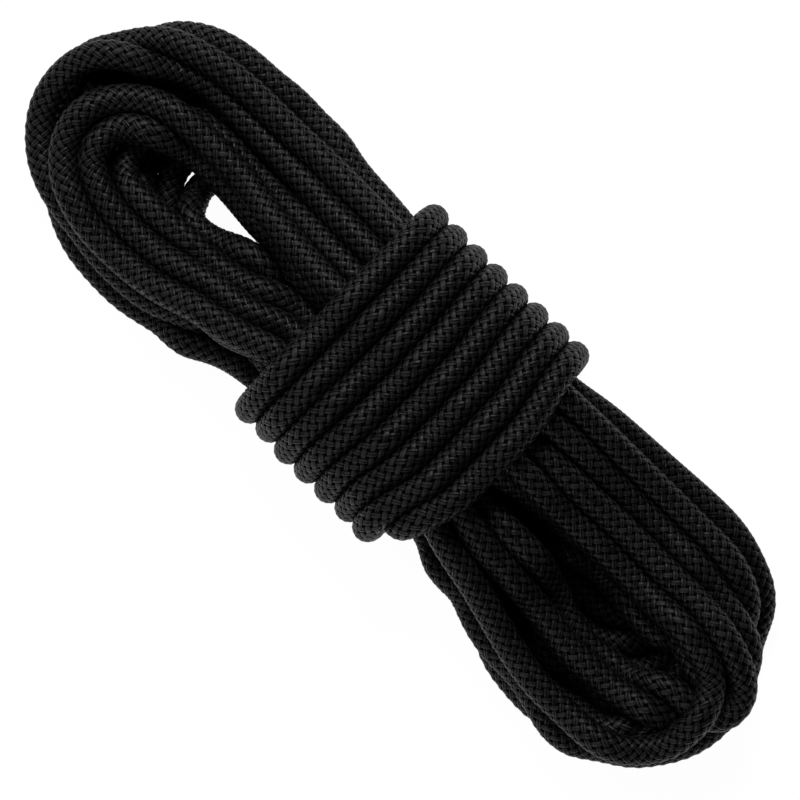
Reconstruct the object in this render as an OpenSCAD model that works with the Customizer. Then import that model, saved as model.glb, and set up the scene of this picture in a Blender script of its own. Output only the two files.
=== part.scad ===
// Dynamic climbing rope, put up as a hank: loops lie side by side in four
// layers, are drawn in at the waist, and eight turns hold them there.
// Millimetres. +X runs along the hank, +Z is up, and it lies on Z = 0.
// The route: the rope starts inside the waist in the top layer, spirals in and
// out through the layers, leaves the bottom layer at the left of the waist,
// winds round the waist from left to right, and its tail is tucked back under
// the turns.

/* [Rope] */
// Diameter of the rope
rope_d = 9.8; // [8.9:0.1:10.4]
// Least clear gap between ropes that lie on each other
lay_gap = 0.5; // [0.45:0.05:1]
// Wall of the woven sheath
sheath_wall = 1.2; // [0.8:0.1:1.6]
// Clearance between the core strands and what is round them
core_gap = 0.1; // [0.05:0.05:0.3]
// Length of each heat-sealed tip
seal_length = 6; // [4:0.5:12]
// Length of rope behind each tip that is built up from sheath and core
end_length = 24; // [15:1:30]

/* [Loops] */
// Distance of the left lobe's outermost bight from the waist's middle
left_reach = 164; // [150:1:190]
// Distance of the right lobe's outermost bight from the waist's middle
right_reach = 158; // [150:1:190]
// Distance from the waist's middle to where each lobe is widest
lobe_place = 110; // [108:1:116]
// Distance of a lobe's outermost run on the front side
front_width = 43; // [41:0.5:46]
// Distance of a lobe's outermost run on the back side
back_width = 47.5; // [46:0.5:52]
// Step from one loop to the next across a lobe
lobe_step = 12.4; // [12:0.1:13]
// Step from one bight to the next along the hank
bight_step = 11.4; // [11.2:0.1:13]
// Step from one loop to the next across the waist, wider as the runs slant there
waist_step = 10.75; // [10.6:0.05:11.2]

/* [Turns] */
// Number of turns round the waist
wraps = 8; // [6:1:8]
// Bend radius where a turn goes round a corner of the bundle
corner_r = 20; // [18:0.5:20.5]
// Length of the tail that is tucked in under the turns
tuck_length = 52; // [45:1:60]

/* [Hidden] */

// Depth to which the lowest ropes are flat where they lie
flat_depth = rope_d / 10;
// Distance between the middles of two ropes that lie on each other
pitch = rope_d + lay_gap;
// Vertical step from layer to layer, wider as the runs climb to the waist
layer_step = pitch + 0.2;
floor_z = rope_d / 2 - flat_depth;
// The waist's parallel runs reach this far past the turns, for the first turn's bend
waist_margin = 15;
turns_half = wraps * pitch / 2;
waist_half = turns_half + waist_margin;

bore_d = rope_d - 2 * sheath_wall;
strand_d = (bore_d - 6 * core_gap) / 3;
strand_ring = bore_d / 2 - core_gap - strand_d / 2;
strand_twist = 120;
tip_r = 2;
sheath_black = "#16161a";
core_white = "#e6e6e2";
tip_black = "#0c0c0e";

// Rings in one turn of a coil, and sides of the rope
rings = 24;
sides = 6;

// Ranks count loops from the outside in. The spiral reverses at the rank
// inner_rank on the back run, and at outer_rank on the same run between the
// middle layers. It begins and ends at end_rank on the front run.
inner_rank = 3.5;
outer_rank = 0.5;
end_rank = 1;
outer_turns = inner_rank - end_rank;
inner_turns = inner_rank - outer_rank;
reversals = [outer_turns, outer_turns + inner_turns, outer_turns + 2 * inner_turns];
all_turns = 2 * outer_turns + 2 * inner_turns;
top_layer = 3;

// The waist's middle lies off the origin, so that the origin is under the hank's middle
waist_x = (left_reach - right_reach) / 2;
function placed(route) = [for (p = route) p + [waist_x, 0, 0]];

function sum(v, i = 0) = i < len(v) ? v[i] + sum(v, i + 1) : 0;
function ease(u) = let (c = min(1, max(0, u))) c * c * (3 - 2 * c);
function mix(a, b, f) = a + (b - a) * f;

// Rank and layer after t turns
function rank(t) = inner_rank - min(abs(t - reversals[0]), abs(t - reversals[2]));
function layer(t) = top_layer - sum([for (r = reversals) ease((t - r) * 2 + 0.5)]);

// Sideways place of the run of rank j: side is -1 at the front and 1 at the back
function waist_y(side, j) = waist_step * (side < 0 ? j - inner_rank : inner_rank + 0.5 - j);
function lobe_y(side, j) = side < 0 ? (j - end_rank) * lobe_step - front_width
                                    : back_width - (j - outer_rank) * lobe_step;
function reach(end, j) = (end < 0 ? left_reach : right_reach) - (j - outer_rank) * bight_step;

// A point of the loops after t turns. Each half turn leaves the waist's middle on
// one run, goes round a bight and comes back on the other run.
run_share = 1 / 6;
function loop_point(t) =
    let (
        u = t - floor(t),
        end = u < 0.5 ? 1 : -1,
        v = (u < 0.5 ? u : u - 0.5) * 2,
        j = rank(t),
        level = floor_z + layer_step * layer(t)
    )
    v < run_share ? run_point(end, -end, j, v / run_share, level)
    : v > 1 - run_share ? run_point(end, end, j, (1 - v) / run_share, level)
    : bight_point(end, j, 180 * (v - run_share) / (1 - 2 * run_share), level);

// w is 0 in the waist's middle, 0.5 where the waist ends and 1 where the lobe is widest
function run_point(end, side, j, w, level) =
    let (f = max(0, 2 * w - 1))
    [end * (w < 0.5 ? 2 * w * waist_half : mix(waist_half, lobe_place, f)),
     mix(waist_y(side, j), lobe_y(side, j), f),
     level + pitch * (1 - f)];

function bight_point(end, j, a, level) =
    let (y1 = lobe_y(-end, j), y2 = lobe_y(end, j))
    [end * mix(lobe_place, reach(end, j), sin(a)),
     (y1 + y2) / 2 + (y1 - y2) / 2 * cos(a),
     level];

// The loops stop at the left of the waist, and the turns start there, in line
last_ring = all_turns * rings - 2;
last_widest = run_point(-1, -1, end_rank, 1, floor_z);
last_run_end = [-waist_half, waist_y(-1, end_rank), floor_z];
loop_end_share = 0.7;
loop_end = mix(last_widest, last_run_end, loop_end_share);
loop_points = [for (i = [1:last_ring - 1]) loop_point(i / rings)];
loop_start = [0, loop_points[0][1], loop_points[0][2]];
loops_route = placed(concat([loop_start], loop_points, [last_widest, loop_end]));

// Round the bundle each turn follows a rounded rectangle, whose straight sides
// reach flat_y and flat_z from its middle
bundle_y = waist_y(1, outer_rank) + pitch;
bundle_z = top_layer * layer_step / 2 + pitch;
flat_y = bundle_y - corner_r;
flat_z = bundle_z - corner_r;
middle_z = floor_z + bundle_z;
top_z = middle_z + bundle_z;
corner_steps = 4;

// One turn's points as [y, z], from the middle of the underside over the back
function corner_points(sy, sz, from) =
    [for (k = [0:corner_steps])
        let (a = from + 90 * k / corner_steps)
        [sy * flat_y + corner_r * cos(a), middle_z + sz * flat_z + corner_r * sin(a)]];
turn_points = concat(
    [[0, floor_z]], corner_points(1, -1, -90),
    [[bundle_y, middle_z]], corner_points(1, 1, 0),
    [[0, top_z]], corner_points(-1, 1, 90),
    [[-bundle_y, middle_z]], corner_points(-1, -1, 180));

// The first turn bends in under the bundle, from the run's slant to its own, which
// goes turn_drift to the right for each millimetre to the back
first_x = -turns_half;
turn_drift = pitch / 2 / bundle_y;
run_slant = atan2(last_run_end[1] - last_widest[1], last_run_end[0] - last_widest[0]);
turn_slant = atan2(1, turn_drift);
bend_start_x = first_x + turn_drift * last_run_end[1];
bend_r = (bend_start_x - last_run_end[0])
    / (sin(turn_slant) - sin(run_slant) - turn_drift * (cos(run_slant) - cos(turn_slant)));
bend_middle = last_run_end + bend_r * [-sin(run_slant), cos(run_slant), 0];
bend_steps = 4;
first_bend = [for (k = [0:bend_steps])
    let (a = mix(run_slant, turn_slant, k / bend_steps))
    bend_middle + bend_r * [sin(a), -cos(a), 0]];

// A turn lies square to the bundle over its top and sides. It moves on by a pitch
// along its underside, by half on each side of the middle.
function turn_point(i) =
    let (p = turn_points[i % rings], turn = floor(i / rings), first = i % rings < rings / 2,
         gone = p[1] >= middle_z ? pitch / 2 : turn_drift * p[0] + (first ? 0 : pitch))
    [first_x + pitch * turn + gone, p[0], p[1]];

// The last turn ends on top of the bundle, and the tail goes down the front, in
// beside the second-last turn and back along the bundle's free front corner
turn_count = (wraps - 0.5) * rings;
tail_x = first_x + pitch * (wraps - 0.5);
tail_clear = 0.2;
tail_y = waist_y(-1, 0) + tail_clear;
tail_end = [tail_x - tuck_length + end_length + seal_length, tail_y, middle_z];
tail = [[tail_x + 1, tail_y + 18, top_z],
        [tail_x + 2.5, tail_y + 8.5, top_z],
        [tail_x + 4.5, tail_y + 1, top_z - 3.5],
        [tail_x + 6, tail_y - 2.5, top_z - 10.5],
        [tail_x + 6, tail_y - 3, top_z - 18],
        [tail_x + 2.5, tail_y - 1.5, middle_z + 2.5],
        [tail_x - 5, tail_y, middle_z],
        tail_end + [rope_d, 0, 0],
        tail_end];
turns_route = placed(concat(
    [loop_end],
    first_bend,
    [for (i = [0:turn_count]) turn_point(i)],
    tail));

function unit(v) = v / norm(v);
function tangent(route, i) =
    let (last = len(route) - 1)
    i == 0 ? unit(route[1] - route[0])
    : i == last ? unit(route[last] - route[last - 1])
    : unit(unit(route[i] - route[i - 1]) + unit(route[i + 1] - route[i]));

// A side's direction square to the rope at each ring, carried along without twist
function carried(route) =
    [for (i = 0, up = [0, 0, 1]; i < len(route);
          i = i + 1,
          up = i < len(route) ? let (t = tangent(route, i)) unit(up - (up * t) * t) : up)
        up];

// A closed tube of triangles along the route
module tube(route) {
    floor_side = 2 * (left_reach + right_reach);
    ups = carried(route);
    n = len(route);
    points = [for (i = [0:n - 1], k = [0:sides - 1])
        let (t = tangent(route, i), side = cross(t, ups[i]), a = 360 * k / sides)
        route[i] + rope_d / 2 * (cos(a) * ups[i] + sin(a) * side)];
    walls = [for (i = [0:n - 2], k = [0:sides - 1])
        let (a = i * sides + k, b = i * sides + (k + 1) % sides)
        each [[a, a + sides, b], [b, a + sides, b + sides]]];
    near_end = [for (k = [1:sides - 2]) [0, k, k + 1]];
    far_end = [for (k = [1:sides - 2]) let (o = (n - 1) * sides) [o, o + k + 1, o + k]];
    difference() {
        polyhedron(points, concat(walls, near_end, far_end));
        translate([-floor_side / 2, -floor_side / 2, -rope_d]) cube([floor_side, floor_side, rope_d]);
    }
}

// Clear gap between the route and itself, past bend_length along it
bend_length = 3 * rope_d;
function lengths(route) =
    [for (i = 0, l = 0; i < len(route);
          i = i + 1, l = i < len(route) ? l + norm(route[i] - route[i - 1]) : l) l];
function to_segment(q, a, b) =
    let (ab = b - a, f = min(1, max(0, (q - a) * ab / (ab * ab)))) norm(q - a - f * ab);
function least_gap(route) =
    let (at = lengths(route), n = len(route))
    min([for (i = [0:n - 2], m = [0, 0.5])
        let (q = mix(route[i], route[i + 1], m), along = mix(at[i], at[i + 1], m))
        each [for (k = [i + 1:n - 2])
            if (at[k] - along > bend_length) to_segment(q, route[k], route[k + 1])]]) - rope_d;

module hank_loops() { color(sheath_black) tube(loops_route); }
module waist_turns() { color(sheath_black) tube(turns_route); }

// Behind each tip the rope is built up: a hollow sheath, and in it one middle
// strand with six laid round it. place is the rope's end, and the pieces go to -X.
module at_end(place, out) { translate(place - [out, 0, 0]) rotate([0, 90, 0]) children(); }

module end_sheath(place) {
    color(sheath_black) at_end(place, end_length) difference() {
        cylinder(d = rope_d, h = end_length);
        translate([0, 0, -1]) cylinder(d = bore_d, h = end_length + 2);
    }
}

module end_core(place) {
    color(core_white) at_end(place, end_length) {
        cylinder(d = strand_d, h = end_length);
        linear_extrude(height = end_length, twist = strand_twist, slices = 8)
            for (k = [0:5]) rotate(60 * k) translate([strand_ring, 0]) circle(d = strand_d, $fn = 10);
    }
}

// The tip is fused by heat into one piece with a rounded end
module end_tip(place) {
    color(tip_black) at_end(place, end_length + seal_length) rotate_extrude()
        intersection() {
            translate([-rope_d, 0]) offset(r = tip_r) offset(delta = -tip_r)
                square([rope_d * 1.5, seal_length * 2]);
            square([rope_d / 2, seal_length]);
        }
}

rope_start = loops_route[0];
rope_finish = turns_route[len(turns_route) - 1];
module start_sheath() { end_sheath(rope_start); }
module start_core() { end_core(rope_start); }
module start_tip() { end_tip(rope_start); }
module tail_sheath() { end_sheath(rope_finish); }
module tail_core() { end_core(rope_finish); }
module tail_tip() { end_tip(rope_finish); }

hank_loops();
waist_turns();
start_sheath();
start_core();
start_tip();
tail_sheath();
tail_core();
tail_tip();

// The whole rope's least gap to itself and its length, tips included
union() {  // hank_loops
    whole = concat(loops_route, [for (i = [1:len(turns_route) - 1]) turns_route[i]]);
    echo(least_gap_mm = least_gap(whole));
    echo(rope_length_mm = lengths(whole)[len(whole) - 1] + 2 * (end_length + seal_length));
}
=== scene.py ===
"""Dynamic climbing rope, put up as a hank.

One rope of core and braided sheath lies in eleven loops, is drawn in at the
waist by eight turns, and has its tail tucked in under them. The route's sizes
are in millimetres and the finished meshes in metres, in the frame's axes:
+X runs along the hank, +Y to its back and +Z up.
"""
import logging
import math
from dataclasses import dataclass, field
from enum import Enum

import bpy
import numpy as np
from mathutils import Matrix, Vector


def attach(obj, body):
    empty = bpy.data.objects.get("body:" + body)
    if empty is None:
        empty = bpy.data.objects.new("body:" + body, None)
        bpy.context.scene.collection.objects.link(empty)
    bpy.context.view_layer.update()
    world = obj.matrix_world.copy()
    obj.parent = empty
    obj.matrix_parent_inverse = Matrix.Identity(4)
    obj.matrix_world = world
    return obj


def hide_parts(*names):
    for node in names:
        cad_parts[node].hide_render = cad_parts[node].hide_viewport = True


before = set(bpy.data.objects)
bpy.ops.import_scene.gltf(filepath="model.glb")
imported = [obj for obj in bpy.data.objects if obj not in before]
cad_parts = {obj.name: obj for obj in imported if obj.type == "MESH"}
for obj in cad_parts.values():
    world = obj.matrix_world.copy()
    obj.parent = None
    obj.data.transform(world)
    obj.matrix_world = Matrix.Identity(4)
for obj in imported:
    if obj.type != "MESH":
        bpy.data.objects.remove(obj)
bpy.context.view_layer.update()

MM = 0.001
TINY = 1e-6
LOG = logging.getLogger("rope")


class Half(Enum):
    """The two ends of the hank."""

    LEFT = -1
    RIGHT = 1


@dataclass(frozen=True)
class Bight:
    """One loop's way round one end of the hank.

    back and front are the sideways places of its two runs where the lobe is
    widest, reach is how far its far end comes from the waist's middle, tip is
    how far that end leans to the back, and the levels count layers of rope. A
    roundness of 1 makes an ellipse, and less makes the bight squarer.
    """

    back: float
    reach: float
    front: float
    back_level: float
    level: float
    front_level: float
    tip: float = 0.0
    roundness: float = 0.9


@dataclass(frozen=True)
class Run:
    """How one run passes through the waist.

    place is its sideways place and level its layer. slant is how far it has
    drifted to the back at the waist's right edge, and as far to the front at the
    left edge. flare is how far it springs to the back at both edges.
    """

    place: float
    level: float
    slant: float = 0.0
    flare: float = 0.0


# The loops stand in the order in which the rope is laid, the upper ones first. A loop's right bight goes
# from its front run to its back run, and its left bight from there to the next loop's front run.
LEFT_BIGHTS = (
    Bight(11.6, 148.5, -37.7, 2.6, 2.7, 2.6, -0.5),
    Bight(5.8, 138.2, -29.0, 1.7, 2.2, 2.3, -2.0),
    Bight(14.5, 130.0, -21.8, 1.6, 1.3, 1.9),
    Bight(40.6, 152.0, -32.0, 1.6, 1.0, 0.9, 6.0, 1.0),
    Bight(33.7, 156.2, -43.6, 2.5, 1.0, 0.3, 3.0),
    Bight(26.3, 163.0, -42.3, 1.9, 2.2, 1.3, 0.5),
    Bight(31.5, 132.0, -30.0, 0.8, 0.3, 0.0, 2.0, 0.8),
    Bight(28.0, 124.0, -25.0, 0.0, 0.5, 0.9),
    Bight(9.0, 102.0, -16.5, 0.0, 0.3, 1.3, 0.0, 0.8),
    Bight(19.0, 114.5, -22.0, 0.0, 0.0, 0.0),
    Bight(38.0, 146.0, -39.0, 0.0, 0.0, 0.0, 4.0),
)
RIGHT_BIGHTS = (
    Bight(5.1, 147.5, -44.8, 2.8, 2.8, 2.9, 2.0, 0.7),
    Bight(4.2, 143.0, -28.2, 1.6, 1.0, 2.4, 0.0, 0.85),
    Bight(15.0, 155.5, -22.5, 3.0, 2.6, 1.1, 1.0),
    Bight(40.8, 146.0, -36.0, 1.8, 0.0, 0.8, 1.0, 1.0),
    Bight(32.3, 140.0, -44.0, 2.5, 0.9, 0.6, 2.0, 0.9),
    Bight(23.2, 155.5, -47.0, 2.5, 1.8, 1.5, 1.0),
    Bight(26.0, 134.0, -2.0, 0.9, 0.9, 0.3),
    Bight(8.0, 111.0, -10.5, 0.0, 0.0, 0.0, 0.0, 0.85),
    Bight(18.2, 120.0, -20.8, 0.0, 0.0, 0.0),
    Bight(28.5, 129.5, -33.0, 0.0, 0.0, 0.0),
    Bight(39.5, 139.0, -45.2, 0.2, 0.0, 0.0),
)
BACK_RUNS = (
    Run(3.7, 3.0, 0.2),
    Run(-2.4, 2.3),
    Run(13.5, 3.0),
    Run(35.0, 1.8, 0.0, 2.5),
    Run(31.8, 2.6),
    Run(23.0, 2.9),
    Run(26.0, 1.2),
    Run(4.5, 0.2),
    Run(14.0, 0.2),
    Run(23.5, 0.1),
    Run(33.0, 0.1),
)
FRONT_RUNS = (
    Run(-29.3, 2.87),
    Run(-21.0, 3.05, 3.5),
    Run(-13.0, 2.6, 1.5),
    Run(-6.0, 1.6, 3.0),
    Run(-23.5, 2.1),
    Run(-32.0, 0.97, 2.5),
    Run(-13.5, 1.55, 1.0),
    Run(-3.5, 0.75),
    Run(-19.0, 0.2),
    Run(-10.0, 0.1),
    Run(-21.5, 1.15),
    Run(-29.0, 0.0),
)
# The tucked tail's points: how far along from the last turn, sideways place, and depth below the turns' top.
TAIL = (
    (0.4, -12.0, 0.0),
    (-0.6, -22.0, 0.5),
    (-2.6, -30.5, 4.5),
    (-6.0, -34.0, 11.0),
    (-11.0, -34.4, 17.0),
    (-18.0, -34.4, 20.5),
    (-27.0, -34.4, 21.5),
    (-40.0, -34.4, 21.5),
    (-55.0, -34.4, 21.5),
)


def ease(share: float) -> float:
    """Returns share from 0 to 1 with a slow start and end."""
    kept = min(1.0, max(0.0, share))
    return kept * kept * (3 - 2 * kept)


def mix(low: float, high: float, share: float) -> float:
    """Returns the value that lies share of the way from low to high."""
    return low + (high - low) * share


def grey(level: float) -> tuple:
    """Returns a grey with its alpha."""
    return (level, level, level, 1.0)


def evenly(points: np.ndarray, step: float) -> np.ndarray:
    """Places points at even steps along a line.

    Args:
        points: The line's points, one row each.
        step: Distance between the new points.

    Returns:
        The new points, the two ends kept.
    """
    along = np.concatenate([[0.0], np.cumsum(np.linalg.norm(np.diff(points, axis=0), axis=1))])
    places = np.linspace(0.0, along[-1], int(round(along[-1] / step)) + 1)
    return np.stack([np.interp(places, along, points[:, axis]) for axis in range(3)], axis=1)


def smooth_curve(points: np.ndarray, count: int) -> np.ndarray:
    """Puts a smooth cubic curve through points.

    Args:
        points: The points it goes through, evenly spaced.
        count: New points for each step between them.

    Returns:
        The curve's points, the two ends kept.
    """
    padded = np.vstack([2 * points[0] - points[1], points, 2 * points[-1] - points[-2]])
    before, start, end, after = padded[:-3], padded[1:-2], padded[2:-1], padded[3:]
    pieces = []
    for share in np.arange(count) / count:
        pieces.append(
            start
            + 0.5 * share * (end - before)
            + share**2 * (before - 2.5 * start + 2 * end - 0.5 * after)
            + share**3 * (1.5 * start - 0.5 * before - 1.5 * end + 0.5 * after)
        )
    curve = np.stack(pieces, axis=1).reshape(-1, 3)
    return np.vstack([curve, points[-1]])


@dataclass
class HankRoute:
    """The line that the rope is laid along, in millimetres.

    pitch is the distance between turns and layer the height of one layer of
    rope. floor is the height of a strand's middle line where it lies lowest.
    From the waist's middle, waist_half is how far the waist reaches and
    lobe_place where the lobes are widest. The runs spread from spread_start to
    spread_end, or to where a bight begins sooner. They lie waist_lift higher in
    the waist, and the last one comes in waist_drift to the back of its place.
    shift moves the whole hank along +X. The wraps reach turn_reach to the back
    and front, and corner is the radius of their four corners. A turn moves
    along the hank only within 1 / under_part of a turn from the middle of its
    underside. head_length of rope lies straight before the first loop.
    """

    pitch: float = 10.24
    gather: float = 0.054
    gather_from: float = 14.0
    gather_over: float = 26.0
    layer: float = 10.2
    floor: float = 3.92
    waist_half: float = 52.0
    lobe_place: float = 108.0
    spread_start: float = 36.0
    spread_end: float = 102.0
    shift: float = 3.0
    wraps: int = 8
    turn_reach: float = 44.6
    corner: float = 20.0
    corner_steps: int = 4
    under_part: float = 6.0
    head_length: float = 30.0
    waist_lift: float = 9.9
    waist_drift: float = 2.0
    run_steps: int = 14
    bight_steps: int = 26

    @property
    def bundle_half(self) -> float:
        """Half of the height between the turns' lowest and highest middle lines."""
        return (3 * self.layer + 2 * self.pitch) / 2

    @property
    def turn_steps(self) -> int:
        """Points in a turn: those of its four corners, and one in each side between them."""
        return 4 * (self.corner_steps + 2)

    def run_share(self, x: float) -> float:
        """Returns how far a run at x has gone over from the waist to the lobe."""
        way = max(0.0, (x - self.spread_start) / (self.spread_end - self.spread_start))
        return (ease(way) + min(1.0, way)) / 2

    def run_points(self, half: Half, run: Run, place: float, level: float, begin: float) -> list[tuple]:
        """Lays one run from the waist's middle to where its bight begins.

        Args:
            half: The end of the hank that it is in.
            run: Its place in the waist.
            place: Its sideways place where the bight begins.
            level: Its layer there.
            begin: How far the bight's beginning is from the waist's middle.

        Returns:
            Points as x, y, layer and share of the waist's lift.
        """
        points = []
        for step in range(self.run_steps):
            x = begin * step / self.run_steps
            share = self.run_share(x) / self.run_share(begin)
            drift = half.value * run.slant * min(1.0, x / self.waist_half)
            sprung = run.flare * ease((x - self.spread_start) / (self.waist_half - self.spread_start))
            y = mix(run.place + drift + sprung, place, share)
            points.append((half.value * x, y, mix(run.level, level, share), 1 - ease(share)))
        return points

    def half_loop(self, half: Half, bight: Bight, start: Run, finish: Run) -> list[tuple]:
        """Lays a run out, the bight, and the run back to the waist's middle.

        Args:
            half: The end of the hank.
            bight: The way round that end.
            start: The run that comes in from the waist.
            finish: The run that goes back to it.

        Returns:
            Points as x, y, layer and share of the waist's lift.
        """
        front = (bight.front, bight.front_level)
        back = (bight.back, bight.back_level)
        (y_in, level_in), (y_out, level_out) = (front, back) if half is Half.RIGHT else (back, front)
        begin = min(self.lobe_place, bight.reach - (bight.back - bight.front) / 2)
        points = self.run_points(half, start, y_in, level_in, begin)
        for step in range(self.bight_steps + 1):
            angle = math.pi * step / self.bight_steps
            height = max(0.0, math.sin(angle))
            x = mix(begin, bight.reach, height**bight.roundness)
            turned = math.copysign(abs(math.cos(angle)) ** bight.roundness, math.cos(angle))
            y = (y_in + y_out) / 2 + (y_in - y_out) / 2 * turned + bight.tip * height
            way = 1 - math.cos(angle)
            if way < 1:
                level = mix(level_in, bight.level, ease(way))
            else:
                level = mix(bight.level, level_out, ease(way - 1))
            points.append((half.value * x, y, level, 0.0))
        return points + self.run_points(half, finish, y_out, level_out, begin)[:0:-1]

    def loops(self) -> np.ndarray:
        """Lays all loops, one after the other.

        Returns:
            Their points, up to where the last loop leaves its left bight.
        """
        points: list[tuple] = []
        for k, (left, right) in enumerate(zip(LEFT_BIGHTS, RIGHT_BIGHTS)):
            points += self.half_loop(Half.RIGHT, right, FRONT_RUNS[k], BACK_RUNS[k])
            points += self.half_loop(Half.LEFT, left, BACK_RUNS[k], FRONT_RUNS[k + 1])
        points = points[: 1 - self.run_steps]
        return np.array([
            (x, y, self.floor + self.layer * level + self.waist_lift * lift) for x, y, level, lift in points
        ])

    def corner_points(self, side: int, up: int, start: float) -> list[tuple]:
        """Rounds one corner of a turn.

        Args:
            side: 1 at the back of the bundle, -1 at its front.
            up: 1 on top of the bundle, -1 under it.
            start: The angle at which the corner begins, in degrees.

        Returns:
            The corner's points as y and z.
        """
        y = side * (self.turn_reach - self.corner)
        z = self.floor + self.bundle_half + up * (self.bundle_half - self.corner)
        angles = [math.radians(start + 90 / self.corner_steps * k) for k in range(self.corner_steps + 1)]
        return [(y + self.corner * math.cos(a), z + self.corner * math.sin(a)) for a in angles]

    def turn_outline(self) -> list[tuple]:
        """Draws one turn round the bundle, from the middle of its underside over the back.

        Returns:
            The turn's points as y and z.
        """
        middle = self.floor + self.bundle_half
        return [
            (0.0, self.floor), *self.corner_points(1, -1, -90.0),
            (self.turn_reach, middle), *self.corner_points(1, 1, 0.0),
            (0.0, middle + self.bundle_half), *self.corner_points(-1, 1, 90.0),
            (-self.turn_reach, middle), *self.corner_points(-1, -1, 180.0),
        ]

    def advance(self, step: int) -> float:
        """Works out how far the turns have moved along the hank: they do so only below the bundle.

        Args:
            step: How many points of the turns have been laid.

        Returns:
            The pitches gone.
        """
        turn, share = divmod(step / self.turn_steps, 1)
        return turn + 0.5 * ease(share * self.under_part) + 0.5 * ease(1 - (1 - share) * self.under_part)

    def bend_in(self, first_x: float) -> list[tuple]:
        """Lays the last run towards the waist and bends it in under the bundle.

        Args:
            first_x: Where the first turn begins.

        Returns:
            The points from the last left bight to the first turn.
        """
        widest = np.array([-self.lobe_place, LEFT_BIGHTS[-1].front, self.floor])
        waist = np.array([-self.waist_half, FRONT_RUNS[-1].place + self.waist_drift, self.floor])
        slant = math.atan2(waist[1] - widest[1], waist[0] - widest[0])
        radius = (first_x - waist[0]) / (1 - math.sin(slant))
        middle = waist + radius * np.array([-math.sin(slant), math.cos(slant), 0.0])
        run = [tuple(mix(widest, waist, share)) for share in (0.35, 0.7)]
        return run + [
            tuple(middle + radius * np.array([math.sin(a), -math.cos(a), 0.0]))
            for a in np.linspace(slant, math.pi / 2, self.corner_steps + 1)
        ]

    def turns(self) -> np.ndarray:
        """Lays the bend in, the turns and the tucked tail.

        Returns:
            Their points.
        """
        first_x = -self.wraps * self.pitch / 2
        last_x = first_x + self.pitch * (self.wraps - 0.5)
        top = self.floor + 2 * self.bundle_half
        outline = self.turn_outline()
        steps = int((self.wraps - 0.5) * self.turn_steps)
        helix = [
            (first_x + self.pitch * self.advance(i), *outline[i % self.turn_steps]) for i in range(steps + 1)
        ]
        tail = [(last_x + along, y, top - below) for along, y, below in TAIL]
        return np.array(self.bend_in(first_x) + helix + tail)

    def gathered(self, points: np.ndarray, step: float) -> np.ndarray:
        """Draws the turns together where they bend round the sides of the bundle.

        A turn moves by the share gather of its distance from the first one,
        wholly from gather_from + gather_over off the middle on.

        Args:
            points: The settled route.
            step: The length between its points.

        Returns:
            The route with its turns closer to the first one at the sides.
        """
        length = np.linalg.norm(np.diff(self.turns(), axis=0), axis=1).sum()
        turning = points[len(points) - int(length / step):]
        side = np.clip((np.abs(turning[:, 1]) - self.gather_from) / self.gather_over, 0.0, 1.0)
        first = self.shift - self.wraps * self.pitch / 2
        turning[:, 0] -= self.gather * side**2 * (3 - 2 * side) * np.clip(turning[:, 0] - first, 0.0, None)
        return points

    def points(self, step: float) -> np.ndarray:
        """Lays the whole rope, from its start to the end of its tail.

        Args:
            step: The length between points.

        Returns:
            The route's points at even steps.
        """
        loops = self.loops()
        head = np.array([loops[0] - [self.head_length * share, 0.0, 0.0] for share in (1.0, 0.66, 0.33)])
        whole = np.vstack([head, loops, self.turns()]) + [self.shift, 0.0, 0.0]
        return evenly(whole, step)


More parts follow.
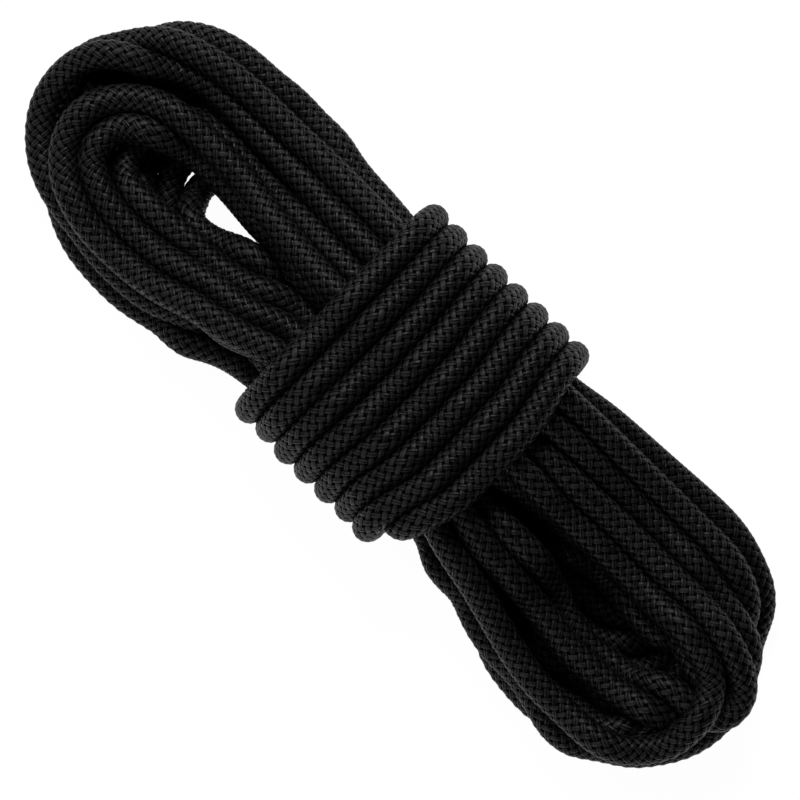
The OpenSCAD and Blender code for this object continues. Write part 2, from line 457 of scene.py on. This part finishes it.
@dataclass
class Settling:
    """Lets the rope's weight and its own thickness press the route together.

    step is the length between the route's points, and thickness how near two
    strands can come. In the last passes all but contact works by last_ease of
    its strength. A tether draws each point back to its laid place, and in height
    with tether_up of its strength. Near strands are looked for once in
    search_every passes, out to search_reach times the thickness.
    """

    step: float = 3.0
    thickness: float = 9.95
    floor: float = HankRoute.floor
    passes: int = 260
    last_passes: int = 70
    last_ease: float = 0.3
    search_every: int = 8
    search_reach: float = 1.3
    tether: float = 0.03
    tether_up: float = 0.3
    weight: float = 0.10
    stiffness: float = 0.25
    bending: float = 1.2
    tension: float = 0.3
    presses: int = 3
    push: float = 1.25
    evening: float = 0.25

    def near_pairs(self, points: np.ndarray) -> tuple[np.ndarray, np.ndarray]:
        """Finds the points of other stretches of rope that are close by.

        Args:
            points: The route.

        Returns:
            The pairs' first and second indices.
        """
        skip = int(round(2 * self.thickness / self.step))
        squares = (points**2).sum(axis=1)
        apart = squares[:, None] + squares[None, :] - 2 * points @ points.T
        first, second = np.nonzero(np.triu(apart < (self.search_reach * self.thickness) ** 2, skip + 1))
        return first, second

    def pull(self, points: np.ndarray, target: np.ndarray, closing: bool) -> np.ndarray:
        """Straightens the rope a little, draws it to its target and lets it sink.

        Args:
            points: The route.
            target: The route as it was laid.
            closing: True in the last passes, when contact matters most.

        Returns:
            The moved route.
        """
        curl = np.zeros_like(points)
        curl[1:-1] = (points[:-2] + points[2:]) / 2 - points[1:-1]
        change = np.zeros_like(points)
        change[1:-1] = (curl[:-2] + curl[2:]) / 2 - curl[1:-1]
        ease_off = self.last_ease if closing else 1.0
        moved = points + self.stiffness * (curl * self.tension * ease_off - self.bending * change)
        moved = moved + self.tether * ease_off * (target - moved) * [1.0, 1.0, self.tether_up]
        moved[:, 2] -= self.weight * ease_off
        return moved

    def press(self, points: np.ndarray, first: np.ndarray, second: np.ndarray) -> np.ndarray:
        """Pushes stretches apart where they lie in each other, and up off the floor.

        Args:
            points: The route.
            first: First index of each close pair.
            second: Second index of each close pair.

        Returns:
            The moved route.
        """
        way = points[second] - points[first]
        apart = np.linalg.norm(way, axis=1)
        deep = apart < self.thickness
        first, second = first[deep], second[deep]
        move = way[deep] * ((self.thickness - apart[deep]) / np.maximum(apart[deep], TINY) / 2)[:, None]
        total = np.zeros_like(points)
        hits = np.zeros(len(points))
        np.add.at(total, first, -move)
        np.add.at(total, second, move)
        np.add.at(hits, first, 1)
        np.add.at(hits, second, 1)
        moved = points + total / np.maximum(hits, 1)[:, None] * self.push
        moved[:, 2] = np.maximum(moved[:, 2], self.floor)
        return moved

    def even_out(self, points: np.ndarray) -> np.ndarray:
        """Brings the route's steps nearer to one length.

        Args:
            points: The route.

        Returns:
            The moved route.
        """
        links = np.diff(points, axis=0)
        lengths = np.linalg.norm(links, axis=1)
        slack = links * ((lengths - lengths.mean()) / np.maximum(lengths, TINY) * self.evening)[:, None]
        moved = points.copy()
        moved[:-1] += slack
        moved[1:] -= slack
        return moved

    def settled(self, target: np.ndarray) -> np.ndarray:
        """Settles a route.

        Args:
            target: The route as it was laid.

        Returns:
            The route after all passes.
        """
        points = target.copy()
        for number in range(self.passes):
            if number % self.search_every == 0:
                first, second = self.near_pairs(points)
            points = self.pull(points, target, number >= self.passes - self.last_passes)
            for _ in range(self.presses):
                points = self.press(points, first, second)
            points = self.even_out(points)
        return points


@dataclass
class Line:
    """A route in metres, with its direction and two more square to it at each point."""

    points: np.ndarray
    tangents: np.ndarray = field(init=False)
    ups: np.ndarray = field(init=False)
    sides: np.ndarray = field(init=False)

    def __post_init__(self) -> None:
        """Carries a square frame along the route without twist."""
        links = np.diff(self.points, axis=0)
        links /= np.linalg.norm(links, axis=1)[:, None]
        tangents = np.vstack([links[0], links[:-1] + links[1:], links[-1]])
        self.tangents = tangents / np.linalg.norm(tangents, axis=1)[:, None]
        ups = np.empty_like(self.points)
        up = np.array([0.0, 0.0, 1.0])
        for i, tangent in enumerate(self.tangents):
            up = up - (up @ tangent) * tangent
            up /= np.linalg.norm(up)
            ups[i] = up
        self.ups = ups
        self.sides = np.cross(self.tangents, ups)

    @property
    def along(self) -> np.ndarray:
        """The length of rope up to each point."""
        return np.concatenate([[0.0], np.cumsum(np.linalg.norm(np.diff(self.points, axis=0), axis=1))])

    def between(self, values: np.ndarray, places: np.ndarray) -> np.ndarray:
        """Reads off what lies between the line's points.

        Args:
            values: A row for each of the line's points.
            places: How far along the line to read.

        Returns:
            A row for each place.
        """
        along = self.along
        return np.stack([np.interp(places, along, values[:, axis]) for axis in range(3)], axis=-1)

    def around(self, places: np.ndarray, angles: np.ndarray, radii: np.ndarray) -> np.ndarray:
        """Places points round the line.

        Args:
            places: How far along the line each point lies.
            angles: Its angle round the line.
            radii: Its distance from the line.

        Returns:
            The points, one row each.
        """
        ups, sides = self.between(self.ups, places), self.between(self.sides, places)
        outward = np.cos(angles)[..., None] * ups + np.sin(angles)[..., None] * sides
        return (self.between(self.points, places) + outward * radii[..., None]).reshape(-1, 3)


def tube_object(name: str, rings: np.ndarray, sides: int, uv: np.ndarray | None = None) -> bpy.types.Object:
    """Makes a closed, smooth tube from rings of points.

    Args:
        name: The piece's name.
        rings: The points, ring after ring.
        sides: Points in a ring.
        uv: The pattern's place at each ring and angle, one angle more than sides.

    Returns:
        The new object.
    """
    count = len(rings) // sides
    ring, side = np.meshgrid(np.arange(count - 1), np.arange(sides), indexing="ij")
    following = (side + 1) % sides
    quads = np.stack([
        ring * sides + side,
        (ring + 1) * sides + side,
        (ring + 1) * sides + following,
        ring * sides + following,
    ], axis=-1).reshape(-1, 4)
    ends = np.array([rings[:sides].mean(axis=0), rings[-sides:].mean(axis=0)])
    vertices = np.vstack([rings, ends])
    near, far = len(rings), len(rings) + 1
    around = np.arange(sides)
    last_ring = (count - 1) * sides
    near_fan = np.stack([np.full(sides, near), around, (around + 1) % sides], axis=1)
    far_fan = np.stack([np.full(sides, far), last_ring + (around + 1) % sides, last_ring + around], axis=1)
    loops = np.concatenate([quads.ravel(), near_fan.ravel(), far_fan.ravel()])
    starts = np.concatenate([np.arange(len(quads)) * 4, len(quads) * 4 + np.arange(2 * sides) * 3])
    mesh = bpy.data.meshes.new(name)
    mesh.vertices.add(len(vertices))
    mesh.vertices.foreach_set("co", vertices.astype(np.float32).ravel())
    mesh.loops.add(len(loops))
    mesh.loops.foreach_set("vertex_index", loops.astype(np.int32))
    mesh.polygons.add(len(starts))
    mesh.polygons.foreach_set("loop_start", starts.astype(np.int32))
    mesh.update(calc_edges=True)
    mesh.polygons.foreach_set("use_smooth", np.ones(len(starts), dtype=bool))
    if uv is not None:
        corners = np.stack([
            uv[ring, side],
            uv[ring + 1, side],
            uv[ring + 1, side + 1],
            uv[ring, side + 1],
        ], axis=2).reshape(-1, 2)
        caps = np.repeat(np.vstack([uv[0, :1], uv[-1, :1]]), 3 * sides, axis=0)
        layer = mesh.uv_layers.new(name="Lay")
        layer.data.foreach_set("uv", np.vstack([corners, caps]).astype(np.float32).ravel())
    mesh.validate()
    piece = bpy.data.objects.new(name, mesh)
    bpy.context.scene.collection.objects.link(piece)
    return piece


class Field:
    """A socket's value in shader maths, with the operators that the finishes use."""

    def __init__(self, board: "NodeBoard", socket: bpy.types.NodeSocket) -> None:
        """Keeps the board and the socket."""
        self.board = board
        self.socket = socket

    def _math(self, operation: str, *values: "Field | float") -> "Field":
        """Adds a Math node that works on values."""
        return self.board.node("ShaderNodeMath", {"operation": operation}, list(values))

    def __add__(self, other: "Field | float") -> "Field":
        """Adds a value."""
        return self._math("ADD", self, other)

    __radd__ = __add__

    def __sub__(self, other: "Field | float") -> "Field":
        """Subtracts a value."""
        return self._math("SUBTRACT", self, other)

    def __rsub__(self, other: float) -> "Field":
        """Subtracts this value from a number."""
        return self._math("SUBTRACT", other, self)

    def __mul__(self, other: "Field | float") -> "Field":
        """Multiplies by a value."""
        return self._math("MULTIPLY", self, other)

    __rmul__ = __mul__

    def __mod__(self, other: float) -> "Field":
        """Takes the remainder."""
        return self._math("MODULO", self, other)

    def floor(self) -> "Field":
        """Rounds down."""
        return self._math("FLOOR", self)

    def above(self, limit: float) -> "Field":
        """Gives 1 where the value is over a limit, else 0."""
        return self._math("GREATER_THAN", self, limit)

    def sign(self) -> "Field":
        """Gives 1 for a value over 0, -1 for one under it."""
        return self._math("SIGN", self)

    def size(self) -> "Field":
        """Drops the sign."""
        return self._math("ABSOLUTE", self)


class NodeBoard:
    """The nodes of one material, or of the world."""

    def __init__(self, owner: bpy.types.ID, output: str = "ShaderNodeOutputMaterial") -> None:
        """Clears the owner's nodes and adds its output.

        Args:
            owner: The new material or world.
            output: The type of its output node.
        """
        owner.use_nodes = True
        self.owner = owner
        self.tree = owner.node_tree
        self.tree.nodes.clear()
        self.output = self.tree.nodes.new(output)

    def node(self, kind: str, settings: dict, inputs: list | dict, output: int | str = 0) -> Field:
        """Adds a node.

        Args:
            kind: The node's type.
            settings: Its own settings, set first.
            inputs: Values or fields of its sockets, in order or by name.
            output: The socket that is given back.

        Returns:
            The output as a field.
        """
        made = self.tree.nodes.new(kind)
        for name, value in settings.items():
            setattr(made, name, value)
        given = inputs.items() if isinstance(inputs, dict) else enumerate(inputs)
        for place, value in given:
            if isinstance(value, Field):
                self.tree.links.new(value.socket, made.inputs[place])
            else:
                made.inputs[place].default_value = value
        return Field(self, made.outputs[output])

    def edge(self, value: Field, low: float, high: float) -> Field:
        """Returns 0 where a value is at low and 1 where it is at high, smooth between."""
        return self.node("ShaderNodeMapRange", {"interpolation_type": "SMOOTHSTEP"}, {
            "Value": value, "From Min": low, "From Max": high,
        })

    def noise(self, place: Field, scale: float, detail: float) -> Field:
        """Returns a noise that is finer with a higher scale and has more fine parts with more detail."""
        return self.node("ShaderNodeTexNoise", {"noise_dimensions": "3D"}, {
            "Vector": place, "Scale": scale, "Detail": detail,
        })

    def bump(self, height: Field, strength: float, depth: float) -> Field:
        """Returns normals that stand out by a height from 0 to 1 times a depth in millimetres."""
        return self.node("ShaderNodeBump", {}, {
            "Strength": strength, "Distance": depth * MM, "Height": height,
        })

    def ramp(self, value: Field, stops: list[tuple[float, tuple]]) -> Field:
        """Adds a colour ramp.

        Args:
            value: The field that it reads.
            stops: Places from 0 to 1, each with a colour.

        Returns:
            The colour.
        """
        colour = self.node("ShaderNodeValToRGB", {}, [value])
        elements = colour.socket.node.color_ramp.elements
        while len(elements) < len(stops):
            elements.new(0.5)
        for element, (place, shade) in zip(elements, stops):
            element.position = place
            element.color = (*shade, 1.0)
        return colour

    def finish_with(self, shader: Field) -> bpy.types.ID:
        """Links a shader to the output and returns the owner."""
        self.tree.links.new(shader.socket, self.output.inputs["Surface"])
        return self.owner


@dataclass(frozen=True)
class Braid:
    """The sheath's weave: yarns that wind both ways and pass over and under each other in turn.

    A float is where a yarn lies on top. columns counts the columns of floats
    round the rope, pitch is the distance from float to float in a column and
    height how far a float stands out, in millimetres. yarn is half of a float's
    width and float_half half of its length, in yarn spacings, and a lower fall
    makes its ends blunter. The mesh has samples points to a column and
    rings_per_float rings to a pitch.
    """

    columns: int = 16
    pitch: float = 3.85
    height: float = 0.5
    yarn: float = 0.3
    float_half: float = 0.78
    fall: float = 0.7
    samples: int = 3
    rings_per_float: int = 6

    @property
    def sides(self) -> int:
        """Points in a ring."""
        return self.columns * self.samples

    def strand(self, aside: np.ndarray, away: np.ndarray) -> np.ndarray:
        """Works out one float's rounded form.

        Args:
            aside: Distances from the float's middle line, in yarn spacings.
            away: Distances from its highest place along that line, in yarn spacings.

        Returns:
            Its height there, from 0 to 1.
        """
        dome = np.sqrt(np.clip(1 - (aside / self.yarn) ** 2, 0, 1))
        return dome * np.cos(np.clip(away / self.float_half, 0, 1) * math.pi / 2) ** self.fall

    def relief(self, along: np.ndarray, across: np.ndarray) -> np.ndarray:
        """Works out how far the weave stands out.

        Args:
            along: Places along the rope, in float pitches.
            across: Places round the rope, in columns.

        Returns:
            Heights in millimetres.
        """
        winding, counter = along + across / 2, along - across / 2
        first, second = np.round(winding), np.round(counter)
        off_first, off_second = np.abs(winding - first), np.abs(counter - second)
        odd = (first + second) % 2 == 1
        aside = np.where(odd, off_first, off_second)
        away = np.where(odd, off_second, off_first)
        return self.height * np.maximum(self.strand(aside, away), self.strand(away, 1 - aside))


class Crossing:
    """Where a shaded place lies in the braid, in the yarns' own grid.

    aside is its distance from the upper yarn's middle line and away the one
    along that line from the crossing's middle, both signed and in yarn
    spacings. odd is 1 where the upper yarn is of the first family and even 1
    where it is of the second. chance is a random value for each float.
    """

    def __init__(self, board: NodeBoard, braid: Braid) -> None:
        """Works everything out from the lay that the mesh carries.

        Args:
            board: The material's nodes.
            braid: The weave that the mesh was made with.
        """
        lay = board.node("ShaderNodeUVMap", {"uv_map": "Lay"}, [])
        along = board.node("ShaderNodeSeparateXYZ", {}, [lay], 0)
        across = board.node("ShaderNodeSeparateXYZ", {}, [lay], 1) * 0.5
        winding, counter = along + across, along - across
        first, second = (winding + 0.5).floor(), (counter + 0.5).floor()
        off_first, off_second = winding - first, counter - second
        self.odd = ((first + second) % 2.0).size()
        self.even = 1.0 - self.odd
        self.aside = off_first * self.odd + off_second * self.even
        self.away = off_first * self.even + off_second * self.odd
        below = self.aside.size().above(braid.yarn)
        float_first = first + below * self.odd * off_first.sign()
        float_second = second + below * self.even * off_second.sign()
        one_float = board.node("ShaderNodeCombineXYZ", {}, [float_first, float_second, 0.0])
        self.chance = board.node(
            "ShaderNodeTexWhiteNoise", {"noise_dimensions": "3D"}, {"Vector": one_float}
        )


@dataclass(frozen=True)
class SheathFinish:
    """Black polyamide yarns, two to a float, with a soft sheen on their crowns.

    Widths are in yarn spacings and heights are shares of bump_depth, which is in
    millimetres. The upper yarn fades out from edge_in inside its edge to
    edge_out outside it, and the lower one over under_fade. The split
    between a float's two yarns fades from split_in to split_out off its middle
    line, and is faint on one of the two families. A float dives under the next
    yarn from dive_start to dive_end off its crossing. The colour carries painted
    shade: deep in the gaps between yarns, a dimmer lower yarn, and darker
    floats along the split and where they dive.
    """

    # deep is the colour of the painted shade in the gaps between yarns.
    deep: tuple = (0.0003, 0.0003, 0.0004)
    plain: tuple = (0.0062, 0.0062, 0.0065)
    crown: tuple = (0.0225, 0.0225, 0.0235)
    specular: float = 0.34
    roughness: float = 0.42
    rough_by_float: float = 0.16
    rough_by_filament: float = 0.12
    dullest_float: float = 0.25
    filament_contrast: float = 0.8
    filaments: float = 26.0
    filament_waves: float = 3.0
    float_shift: float = 9.0
    edge_out: float = 0.03
    edge_in: float = 0.05
    under_fade: float = 0.09
    split_in: float = 0.02
    split_out: float = 0.09
    # Painted shade along the split between a float's yarns, fainter on one family because of how the light
    # falls.
    split_faint: float = 0.15
    split_painted_shade: float = 0.9
    dive_start: float = 0.36
    dive_end: float = 0.62
    # Painted shade where a float dives under the next yarn.
    dive_painted_shade: float = 0.4
    # Painted shade on the lower yarn, which lies sunk below the floats.
    under_light: float = 0.4
    least_light: float = 0.03
    bump_strength: float = 0.9
    bump_depth: float = 0.4
    over_height: float = 0.75
    dive_drop: float = 0.2
    under_height: float = 0.3
    split_drop: float = 0.25
    filament_height: float = 0.15

    def split(self, board: NodeBoard, off: Field, family: Field) -> Field:
        """Draws the line between a float's two yarns, for its groove and its painted shade.

        Args:
            board: The material's nodes.
            off: Distance from the float's middle line.
            family: 1 where the float is of the family that shows the line well.

        Returns:
            1 on the line and 0 off it.
        """
        line = 1.0 - board.edge(off, self.split_in, self.split_out)
        return line * (self.split_faint + (1.0 - self.split_faint) * family)

    def material(self, braid: Braid) -> bpy.types.Material:
        """Builds the material from the weave's own pattern.

        Args:
            braid: The weave that the mesh was made with.

        Returns:
            The material.
        """
        board = NodeBoard(bpy.data.materials.new("sheath_black"))
        place = Crossing(board, braid)
        off, far = place.aside.size(), place.away.size()
        over = board.edge(off, braid.yarn + self.edge_out, braid.yarn - self.edge_in)
        under = (1.0 - over) * board.edge(far, braid.yarn, braid.yarn - self.under_fade)
        split_over = self.split(board, off, place.even)
        split_under = self.split(board, far, place.odd)
        dive = board.edge(far, self.dive_start, self.dive_end)
        streaks = board.node("ShaderNodeCombineXYZ", {}, [
            place.aside * self.filaments, place.away * self.filament_waves, place.chance * self.float_shift,
        ])
        filament = board.noise(streaks, 1.0, 2.0)
        height = over * (self.over_height - self.dive_drop * dive) + under * self.under_height
        height = height - over * split_over * self.split_drop + filament * self.filament_height
        # Painted shade: the upper yarn darkened along its split and where it dives under.
        painted_lit_over = over * (1.0 - self.split_painted_shade * split_over) * (1.0 - self.dive_painted_shade * dive)
        # Painted shade: the lower yarn, sunk below the floats, dimmed by under_light.
        painted_lit_under = under * (1.0 - self.split_painted_shade * split_under) * self.under_light
        # seen is how much yarn shows; the rest is the near-black painted gap shade.
        seen = self.least_light + (1.0 - self.least_light) * (painted_lit_over + painted_lit_under)
        by_float = self.dullest_float + (1.0 - self.dullest_float) * place.chance
        by_filament = (1.0 - self.filament_contrast / 2) + self.filament_contrast * filament
        colour = board.ramp(by_float * by_filament, [(0.1, self.plain), (0.9, self.crown)])
        rough = self.roughness + self.rough_by_float * place.chance - self.rough_by_filament * filament
        yarn = board.node("ShaderNodeBsdfPrincipled", {}, {
            "Base Color": colour,
            "Roughness": rough,
            "Normal": board.bump(height, self.bump_strength, self.bump_depth),
            "Specular IOR Level": self.specular,
        })
        # Painted shade: a near-black diffuse stands in for the shade that falls in the gaps between yarns.
        painted_gap_shade = board.node("ShaderNodeBsdfDiffuse", {}, {"Color": (*self.deep, 1.0)})
        return board.finish_with(board.node("ShaderNodeMixShader", {}, [seen, painted_gap_shade, yarn]))


@dataclass(frozen=True)
class CoreFinish:
    """The white core, mottled by its fine filaments."""

    colour: tuple = (0.78, 0.78, 0.75)
    shadow: tuple = (0.52, 0.52, 0.49)
    roughness: float = 0.7
    grain: float = 2600.0

    def material(self) -> bpy.types.Material:
        """Builds the material.

        Returns:
            The material.
        """
        board = NodeBoard(bpy.data.materials.new("core_white"))
        place = board.node("ShaderNodeTexCoord", {}, [], "Object")
        filament = board.noise(place, self.grain, 3.0)
        return board.finish_with(board.node("ShaderNodeBsdfPrincipled", {}, {
            "Base Color": board.ramp(filament, [(0.3, self.shadow), (0.7, self.colour)]),
            "Roughness": self.roughness,
            "Normal": board.bump(filament, 0.5, 0.1),
        }))


@dataclass(frozen=True)
class TipFinish:
    """Sheath and core melted together, glossy and slightly pitted."""

    colour: tuple = (0.008, 0.008, 0.009)
    scorched: tuple = (0.02, 0.018, 0.016)
    glossiest: float = 0.25
    duller_pits: float = 0.3
    grain: float = 900.0

    def material(self) -> bpy.types.Material:
        """Builds the material.

        Returns:
            The material.
        """
        board = NodeBoard(bpy.data.materials.new("tip_fused"))
        place = board.node("ShaderNodeTexCoord", {}, [], "Object")
        pits = board.noise(place, self.grain, 4.0)
        return board.finish_with(board.node("ShaderNodeBsdfPrincipled", {}, {
            "Base Color": board.ramp(pits, [(0.35, self.colour), (0.75, self.scorched)]),
            "Roughness": self.glossiest + self.duller_pits * pits,
            "Normal": board.bump(pits, 0.6, 0.2),
        }))


@dataclass
class ClimbingRope:
    """The rope itself: core, braided sheath and fused tips.

    Sizes are in millimetres. sheath_under is the radius of the gaps between the
    sheath's yarns, and diameter is the one that the rope is sold by. The core
    has a ring of core_sides points at every core_step. The sheath follows a line
    with a point at every fine_step. A tip reaches tip_beyond past the cut.
    """

    diameter: float = 9.8
    sheath_under: float = 4.74
    sections: int = 8
    fine_step: float = 1.0
    curve_steps: int = 6
    core_radius: float = 4.55
    core_sides: int = 20
    core_step: float = 2.2
    tip_length: float = 6.0
    tip_radius: float = 5.0
    tip_beyond: float = 0.6
    tip_sides: int = 64
    tip_bevel: float = 1.2
    bevel_segments: int = 5
    smooth_angle: float = 40.0
    route: HankRoute = field(default_factory=HankRoute)
    settling: Settling = field(default_factory=Settling)
    braid: Braid = field(default_factory=Braid)

    def __post_init__(self) -> None:
        """Lays and settles the route once, for all pieces, and sets it down on the floor."""
        laid = self.route.points(self.settling.step)
        settled = self.route.gathered(self.settling.settled(laid), self.settling.step)
        settled[:, 2] += self.sheath_under + self.braid.height - self.settling.floor
        path = smooth_curve(settled, self.curve_steps)
        self.fine = Line(evenly(path, self.fine_step) * MM)
        self.coarse = Line(evenly(path, self.core_step) * MM)

    def core(self) -> bpy.types.Object:
        """Makes the core as one smooth strand from end to end.

        Returns:
            The core.
        """
        line = self.coarse
        angles = np.arange(self.core_sides) * (2 * math.pi / self.core_sides)
        places, around = np.meshgrid(line.along, angles, indexing="ij")
        rings = line.around(places, around, np.full_like(around, self.core_radius * MM))
        return tube_object("rope_core", rings, self.core_sides)

    def sheath_section(self, number: int, first: int, last: int) -> bpy.types.Object:
        """Weaves one stretch of the sheath.

        Args:
            number: Which stretch it is, from the start of the rope.
            first: Its first ring.
            last: Its last ring.

        Returns:
            The stretch.
        """
        braid = self.braid
        phases = np.arange(first, last + 1) / braid.rings_per_float
        across = np.arange(braid.sides + 1) / braid.samples
        phase, across = np.meshgrid(phases, across, indexing="ij")
        relief = braid.relief(phase, across)[:, :-1]
        places = phase[:, :-1] * braid.pitch * MM
        angles = across[:, :-1] * (2 * math.pi / braid.columns)
        rings = self.fine.around(places, angles, (self.sheath_under + relief) * MM)
        return tube_object(f"sheath_{number}", rings, braid.sides, np.stack([phase, across], axis=-1))

    def sheath(self) -> list[bpy.types.Object]:
        """Weaves the whole sheath.

        Returns:
            Its stretches, which meet ring to ring.
        """
        last = int(self.fine.along[-1] / MM / self.braid.pitch * self.braid.rings_per_float)
        borders = [round(last * k / self.sections) for k in range(self.sections + 1)]
        return [
            self.sheath_section(k + 1, borders[k], borders[k + 1]) for k in range(self.sections)
        ]

    def tip(self, name: str, end: int) -> bpy.types.Object:
        """Makes the stub at one end where sheath and core are melted together.

        Args:
            name: The piece's name.
            end: 0 for the start of the rope, -1 for the end of its tail.

        Returns:
            The stub, which covers the cut end.
        """
        line = self.coarse
        outward = Vector(line.tangents[end]) * (-1 if end == 0 else 1)
        middle = Vector(line.points[end]) - outward * (self.tip_length / 2 - self.tip_beyond) * MM
        bpy.ops.object.select_all(action="DESELECT")
        bpy.ops.mesh.primitive_cylinder_add(
            vertices=self.tip_sides,
            radius=self.tip_radius * MM,
            depth=self.tip_length * MM,
            end_fill_type="NGON",
        )
        made = bpy.context.object
        made.name = made.data.name = name
        bpy.ops.object.mode_set(mode="EDIT")
        bpy.ops.mesh.select_mode(type="FACE")
        bpy.ops.mesh.select_all(action="DESELECT")
        bpy.ops.object.mode_set(mode="OBJECT")
        for face in made.data.polygons:
            face.select = abs(face.normal.z) > 0.9
        bpy.ops.object.mode_set(mode="EDIT")
        bpy.ops.mesh.bevel(offset=self.tip_bevel * MM, segments=self.bevel_segments, affect="EDGES")
        bpy.ops.object.mode_set(mode="OBJECT")
        made.rotation_mode = "QUATERNION"
        made.rotation_quaternion = outward.to_track_quat("Z", "Y")
        made.location = middle
        bpy.ops.object.transform_apply(location=True, rotation=True, scale=True)
        bpy.ops.object.shade_smooth_by_angle(angle=math.radians(self.smooth_angle))
        return made

    def build(self) -> list[bpy.types.Object]:
        """Makes and dresses all pieces, and hides the model's parts that they stand in for.

        Returns:
            The tips, the sheath's stretches and the core.
        """
        core = self.core()
        sheath = self.sheath()
        tips = [self.tip("tip_start", 0), self.tip("tip_tail", -1)]
        core.data.materials.append(CoreFinish().material())
        melted = TipFinish().material()
        for tip, node in zip(tips, ("start_tip", "tail_tip")):
            tip.data.materials.append(melted)
            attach(tip, "root")
            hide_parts(node)
        black = SheathFinish().material(self.braid)
        for piece in sheath:
            piece.data.materials.append(black)
            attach(piece, "root")
            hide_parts("hank_loops" if piece is not sheath[-1] else "waist_turns")
        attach(core, "root")
        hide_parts("start_core", "tail_core", "start_sheath", "tail_sheath")
        float(self.coarse.along[-1])
        return [*tips, *sheath, core]


@dataclass(frozen=True)
class Lamp:
    """A soft square lamp that points at the hank: its place, its side and its power in watts."""

    name: str
    place: tuple
    side: float
    power: float

    def hang(self) -> None:
        """Adds the lamp to the scene."""
        data = bpy.data.lights.new(self.name, "AREA")
        data.size = self.side
        data.energy = self.power
        made = bpy.data.objects.new(self.name, data)
        made.location = self.place
        made.rotation_euler = (-Vector(self.place)).to_track_quat("-Z", "Y").to_euler()
        bpy.context.scene.collection.objects.link(made)


@dataclass
class Studio:
    """Camera, lamps and floor, in metres.

    The camera looks straight down at centre, takes in view_width there and has
    right as the direction of its right-hand side. The floor lies floor_gap under
    the hank. To the camera it glows by floor_glow and shows shadows by
    floor_dim, and for all other light it is as pale as floor_plain.
    """

    lens: float = 180.0
    sensor: float = 36.0
    view_width: float = 0.272
    centre: tuple = (0.0020, -0.0068, 0.040)
    right: tuple = (0.719, 0.695, 0.0)
    floor_side: float = 6.0
    floor_gap: float = 0.0002
    floor_plain: float = 0.8
    floor_dim: float = 0.12
    floor_glow: float = 0.97
    even_light: float = 0.025
    lamps: tuple = (
        Lamp("lamp_top", (-0.62, 0.66, 0.95), 0.45, 6.3),
        Lamp("lamp_low", (0.30, -0.85, 0.70), 0.6, 2.0),
        Lamp("lamp_left", (-1.05, -0.15, 0.75), 0.6, 2.0),
    )

    def camera(self) -> None:
        """Sets the camera above the hank, turned so that the hank lies slanting."""
        data = bpy.data.cameras.new("camera")
        data.lens = self.lens
        data.sensor_width = self.sensor
        distance = self.view_width * self.lens / self.sensor
        right = Vector(self.right).normalized()
        back = Vector((0.0, 0.0, 1.0))
        turned = Matrix((right, back.cross(right), back)).transposed().to_4x4()
        made = bpy.data.objects.new("camera", data)
        made.matrix_world = Matrix.Translation(Vector(self.centre) + back * distance) @ turned
        bpy.context.scene.collection.objects.link(made)
        bpy.context.scene.camera = made

    def seen_light(self, board: NodeBoard) -> Field:
        """Tells the light that is seen from the light that falls on things.

        Args:
            board: The floor's nodes.

        Returns:
            1 for rays from the camera and from gloss and glass, and else 0.
        """
        path = board.node("ShaderNodeLightPath", {}, [], "Is Camera Ray")
        gloss = board.node("ShaderNodeLightPath", {}, [], "Is Glossy Ray")
        glass = board.node("ShaderNodeLightPath", {}, [], "Is Transmission Ray")
        return board.node(
            "ShaderNodeMath", {"operation": "ADD", "use_clamp": True}, [path + gloss, glass]
        )

    def floor(self) -> None:
        """Lays the floor, white to the eye, with the hank's shadow on it."""
        bpy.ops.object.select_all(action="DESELECT")
        bpy.ops.mesh.primitive_plane_add(size=self.floor_side, location=(0.0, 0.0, -self.floor_gap))
        made = bpy.context.object
        made.name = "floor"
        board = NodeBoard(bpy.data.materials.new("floor_white"))
        plain = board.node("ShaderNodeBsdfDiffuse", {}, {"Color": grey(self.floor_plain)})
        dim = board.node("ShaderNodeBsdfDiffuse", {}, {"Color": grey(self.floor_dim)})
        glow = board.node("ShaderNodeEmission", {}, {"Color": grey(1.0), "Strength": self.floor_glow})
        both = board.node("ShaderNodeAddShader", {}, [dim, glow])
        shader = board.node("ShaderNodeMixShader", {}, [self.seen_light(board), plain, both])
        made.data.materials.append(board.finish_with(shader))

    def world(self) -> None:
        """Gives even light from all round, and white to the eye."""
        board = NodeBoard(bpy.data.worlds.new("studio"), "ShaderNodeOutputWorld")
        seen = board.node("ShaderNodeLightPath", {}, [], "Is Camera Ray")
        soft = board.node("ShaderNodeBackground", {}, {"Strength": self.even_light})
        white = board.node("ShaderNodeBackground", {}, {"Strength": 1.0})
        blend = board.node("ShaderNodeMixShader", {}, [seen, soft, white])
        bpy.context.scene.world = board.finish_with(blend)

    def build(self) -> None:
        """Sets the floor, the world and the lamps up."""
        bpy.context.scene.view_settings.view_transform = "Standard"
        self.floor()
        self.world()
        for lamp in self.lamps:
            lamp.hang()


def main() -> None:
    """Builds the camera, the rope and the studio, and reports each piece."""
    logging.basicConfig(level=logging.INFO, format="%(message)s")
    studio = Studio()
    studio.camera()
    rope = ClimbingRope()
    for piece in rope.build():
        LOG.info("%s: %d faces", piece.name, len(piece.data.polygons))
    LOG.info("rope: %.3f m long", rope.coarse.along[-1])
    studio.build()


if __name__ == "__main__":
    main()
